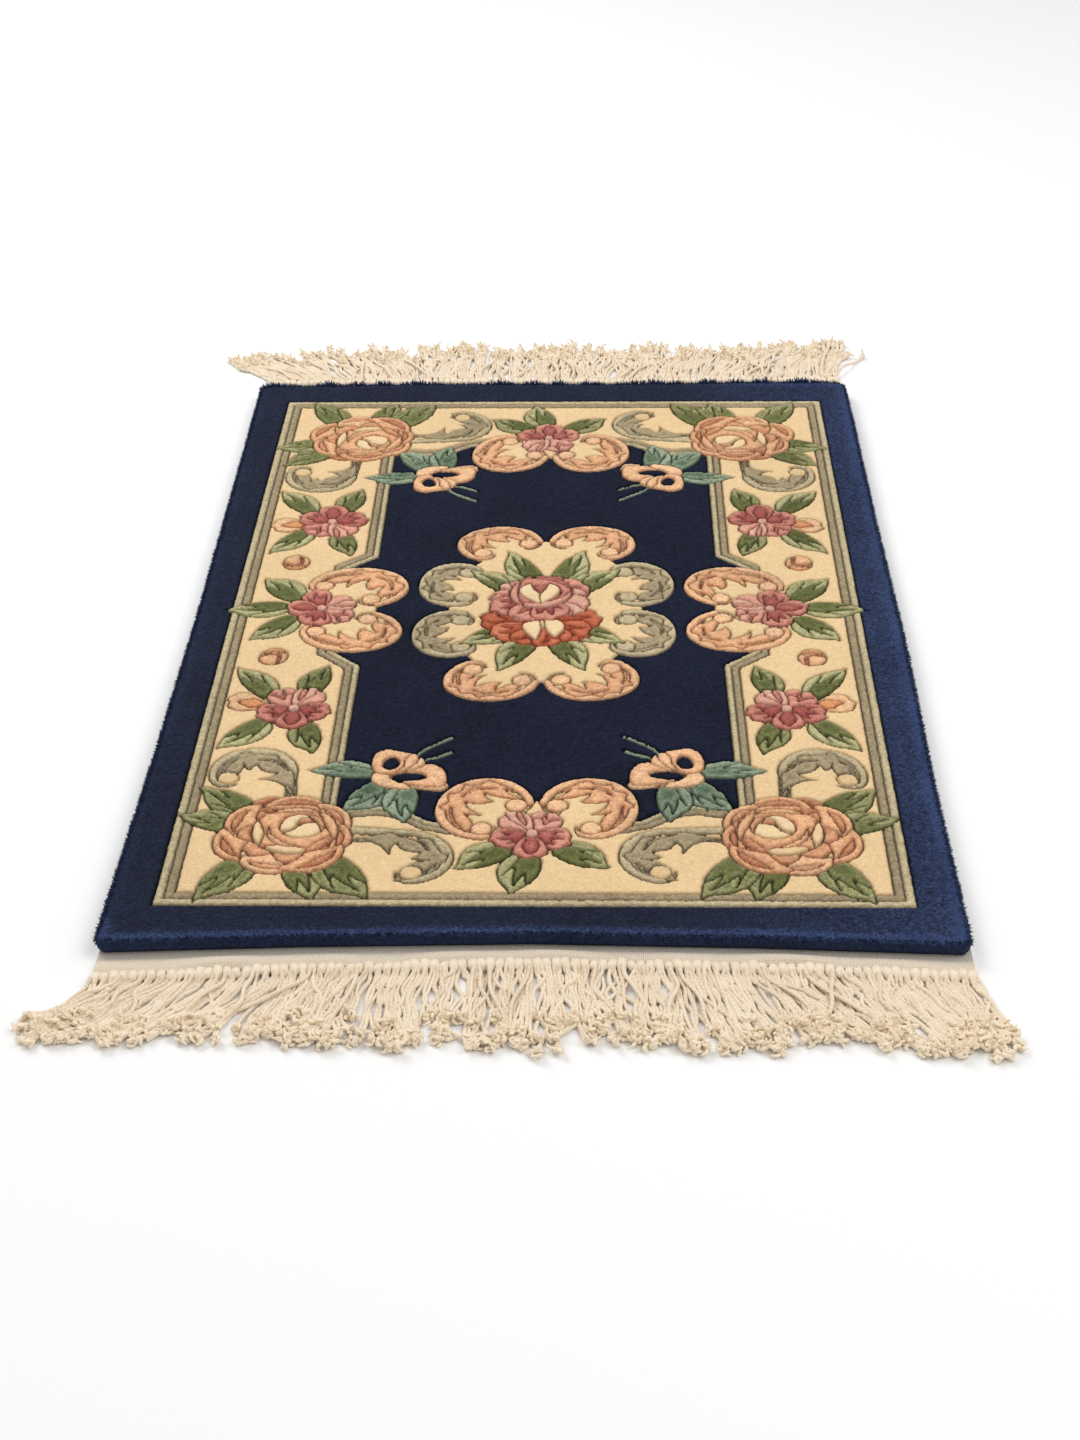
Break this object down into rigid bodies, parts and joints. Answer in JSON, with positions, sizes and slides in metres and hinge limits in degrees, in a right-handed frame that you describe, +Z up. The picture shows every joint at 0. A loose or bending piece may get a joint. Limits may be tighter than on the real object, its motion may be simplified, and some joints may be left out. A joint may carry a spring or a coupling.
{
  "type": "chinese rug",
  "caption": "Rectangular carved wool rug, lying flat: dark blue ground, floral border and medallion in relief, knotted cotton fringe along both ends.",
  "frame": {"origin": "the middle of the pile, on the rug's underside, which is the surface it lies on", "axes": "+X to the right and +Y to the far end as seen from the near end, where the woven band shows; +Z up, out of the pile"},
  "size_m": [0.6692, 1.1705, 0.015],
  "materials": {
    "cotton_weave": "plain woven cotton, matt",
    "cotton_cord": "twisted cotton cord, matt, frayed tips",
    "navy_wool": "cut wool pile, soft sheen",
    "cream_wool": "cut wool pile, soft sheen",
    "peach_wool": "cut wool pile, soft sheen",
    "pink_wool": "cut wool pile, soft sheen",
    "coral_wool": "cut wool pile, soft sheen",
    "green_wool": "cut wool pile, soft sheen",
    "teal_wool": "cut wool pile, soft sheen",
    "sage_wool": "cut wool pile, soft sheen"
  },
  "bodies": {
    "root": {"foundation": "cotton_weave", "pile": "navy_wool", "fringe_near": "cotton_cord", "fringe_far": "cotton_cord"}
  },
  "joints": []
}
